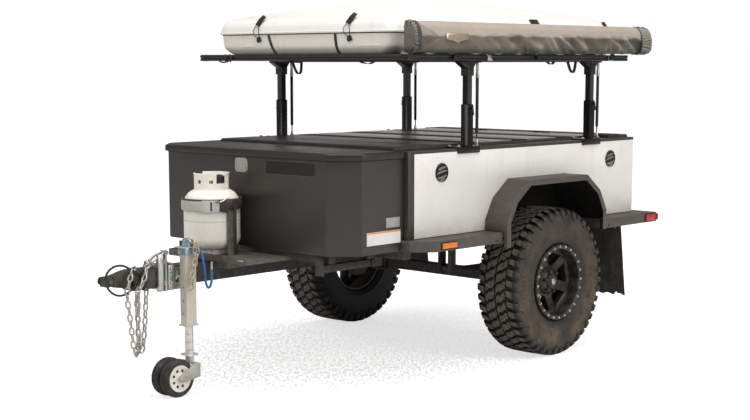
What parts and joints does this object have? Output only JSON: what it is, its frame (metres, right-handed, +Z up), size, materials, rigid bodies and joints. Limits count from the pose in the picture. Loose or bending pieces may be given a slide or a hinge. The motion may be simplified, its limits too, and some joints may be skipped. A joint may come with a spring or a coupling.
{
  "type": "off-road camping trailer",
  "caption": "Off-road box trailer parked on its drawbar jack, with a nose box, gas bottle, slatted cover, post rack, hard-shell roof tent and awning bag.",
  "frame": {"origin": "middle of the trailer in plan, on the ground its tyres and jack wheels stand on", "axes": "+Z up, the hitch points along -Y, +X is the trailer's left side, which carries the awning bag and the jack"},
  "size_m": [1.97, 3.7098, 2.104],
  "materials": {
    "black_steel": "satin black coating",
    "white_paint": "satin white paint",
    "charcoal_paint": "textured charcoal powder coat",
    "grey_paint": "satin grey paint",
    "dark_liner": "sprayed liner",
    "deck_grey": "textured grey slats",
    "zinc": "zinc plated",
    "blue_zinc": "blue passivated zinc",
    "brass": "yellow plated",
    "cream_paint": "cream paint",
    "rubber": "matt black rubber",
    "rim_black": "satin black",
    "jack_rubber": "matt rubber with a pale hub",
    "tank_white": "off-white paint",
    "amber": "amber lens",
    "red": "red lens",
    "tent_grey": "moulded shell",
    "canvas": "coated canvas",
    "blue_vinyl": "dipped sleeve",
    "black_vinyl": "matt vinyl"
  },
  "bodies": {
    "trailer": {"axle_beam": "black_steel", "leaf_spring_left": "black_steel", "leaf_spring_right": "black_steel", "drawbar": "black_steel", "main_frame": "black_steel", "side_step_left": "black_steel", "side_step_right": "black_steel", "rear_bumper": "black_steel", "fender_left": "black_steel", "fender_right": "black_steel", "rack_socket_front_left": "black_steel", "rack_socket_front_right": "black_steel", "rack_socket_rear_left": "black_steel", "rack_socket_rear_right": "black_steel", "side_panel_left": "white_paint", "side_panel_right": "white_paint", "front_wall": "charcoal_paint", "nose_box": "charcoal_paint", "body_frame": "charcoal_paint", "bottle_tray": "grey_paint", "body_floor": "dark_liner", "cover_panels": "deck_grey", "jack_bracket": "zinc", "safety_chain": "zinc", "mud_flap_left": "rubber", "mud_flap_right": "rubber", "gas_bottle": "tank_white", "marker_lamp_left": "amber", "marker_lamp_right": "amber", "tail_lamp_left": "red", "tail_lamp_right": "red", "bottle_strap": "black_vinyl", "brake_cable": "black_vinyl", "cable_plug": "black_vinyl"},
    "wheel_left": {"tyre_left": "rubber", "rim_left": "rim_black"},
    "wheel_right": {"tyre_right": "rubber", "rim_right": "rim_black"},
    "jack_mast": {"jack_tube": "cream_paint", "jack_head": "blue_zinc", "jack_crank": "blue_vinyl", "jack_chain": "brass"},
    "jack_leg": {"jack_ram": "zinc"},
    "jack_roller": {"jack_wheels": "jack_rubber"},
    "box_lid": {"nose_lid": "charcoal_paint"},
    "rear_cover": {"cover_rear_panel": "deck_grey"},
    "rear_gate": {"tailgate": "white_paint"},
    "rack": {"rack_hoop_front": "black_steel", "rack_hoop_rear": "black_steel", "rack_platform": "black_steel", "tent_base": "tent_grey", "tent_fabric": "canvas", "awning_bag": "canvas"},
    "tent_cap": {"tent_lid": "tent_grey"},
    "hitch_head": {"coupler_head": "black_steel"},
    "leg_front_left": {"stabilizer_front_left": "grey_paint"},
    "leg_front_right": {"stabilizer_front_right": "grey_paint"},
    "leg_rear_left": {"stabilizer_rear_left": "grey_paint"},
    "leg_rear_right": {"stabilizer_rear_right": "grey_paint"}
  },
  "joints": [
    {"name": "wheel_left_spin", "type": "hinge", "parent": "trailer", "child": "wheel_left", "pos_m": [0.826, 0.772, 0.4445], "axis": [1, 0, 0], "continuous": true},
    {"name": "wheel_right_spin", "type": "hinge", "parent": "trailer", "child": "wheel_right", "pos_m": [-0.826, 0.772, 0.4445], "axis": [1, 0, 0], "continuous": true},
    {"name": "jack_swing", "type": "hinge", "parent": "trailer", "child": "jack_mast", "pos_m": [0.125, -1.378, 0.6], "axis": [1, 0, 0], "range_deg": [0, 90]},
    {"name": "jack_slide", "type": "slide", "parent": "jack_mast", "child": "jack_leg", "axis": [0, 0, 1], "range_m": [0, 0.12]},
    {"name": "jack_wheel_spin", "type": "hinge", "parent": "jack_leg", "child": "jack_roller", "pos_m": [0.125, -1.493, 0.1015], "axis": [1, 0, 0], "continuous": true},
    {"name": "nose_lid_hinge", "type": "hinge", "parent": "trailer", "child": "box_lid", "pos_m": [0, -0.426, 1.268], "axis": [-1, 0, 0], "range_deg": [0, 80]},
    {"name": "rear_cover_hinge", "type": "hinge", "parent": "trailer", "child": "rear_cover", "pos_m": [0, 1.518, 1.29], "axis": [1, 0, 0], "range_deg": [0, 100]},
    {"name": "tailgate_hinge", "type": "hinge", "parent": "trailer", "child": "rear_gate", "pos_m": [0, 1.7575, 0.799], "axis": [-1, 0, 0], "range_deg": [0, 90]},
    {"name": "stabilizer_front_left_hinge", "type": "hinge", "parent": "trailer", "child": "leg_front_left", "pos_m": [0.57, -0.443, 0.65], "axis": [1, 0, 0], "range_deg": [0, 85]},
    {"name": "stabilizer_front_right_hinge", "type": "hinge", "parent": "trailer", "child": "leg_front_right", "pos_m": [-0.57, -0.443, 0.65], "axis": [1, 0, 0], "range_deg": [0, 85]},
    {"name": "stabilizer_rear_left_hinge", "type": "hinge", "parent": "trailer", "child": "leg_rear_left", "pos_m": [0.57, 1.192, 0.65], "axis": [-1, 0, 0], "range_deg": [0, 85]},
    {"name": "stabilizer_rear_right_hinge", "type": "hinge", "parent": "trailer", "child": "leg_rear_right", "pos_m": [-0.57, 1.192, 0.65], "axis": [-1, 0, 0], "range_deg": [0, 85]},
    {"name": "rack_lift", "type": "slide", "parent": "trailer", "child": "rack", "axis": [0, 0, 1], "range_m": [0, 0.15]},
    {"name": "tent_lid_hinge", "type": "hinge", "parent": "rack", "child": "tent_cap", "pos_m": [0, 1.757, 1.9085], "axis": [-1, 0, 0], "range_deg": [0, 38]},
    {"name": "coupler_roll", "type": "hinge", "parent": "trailer", "child": "hitch_head", "pos_m": [0, -1.808, 0.628], "axis": [0, 1, 0], "range_deg": [-90, 90]}
  ]
}
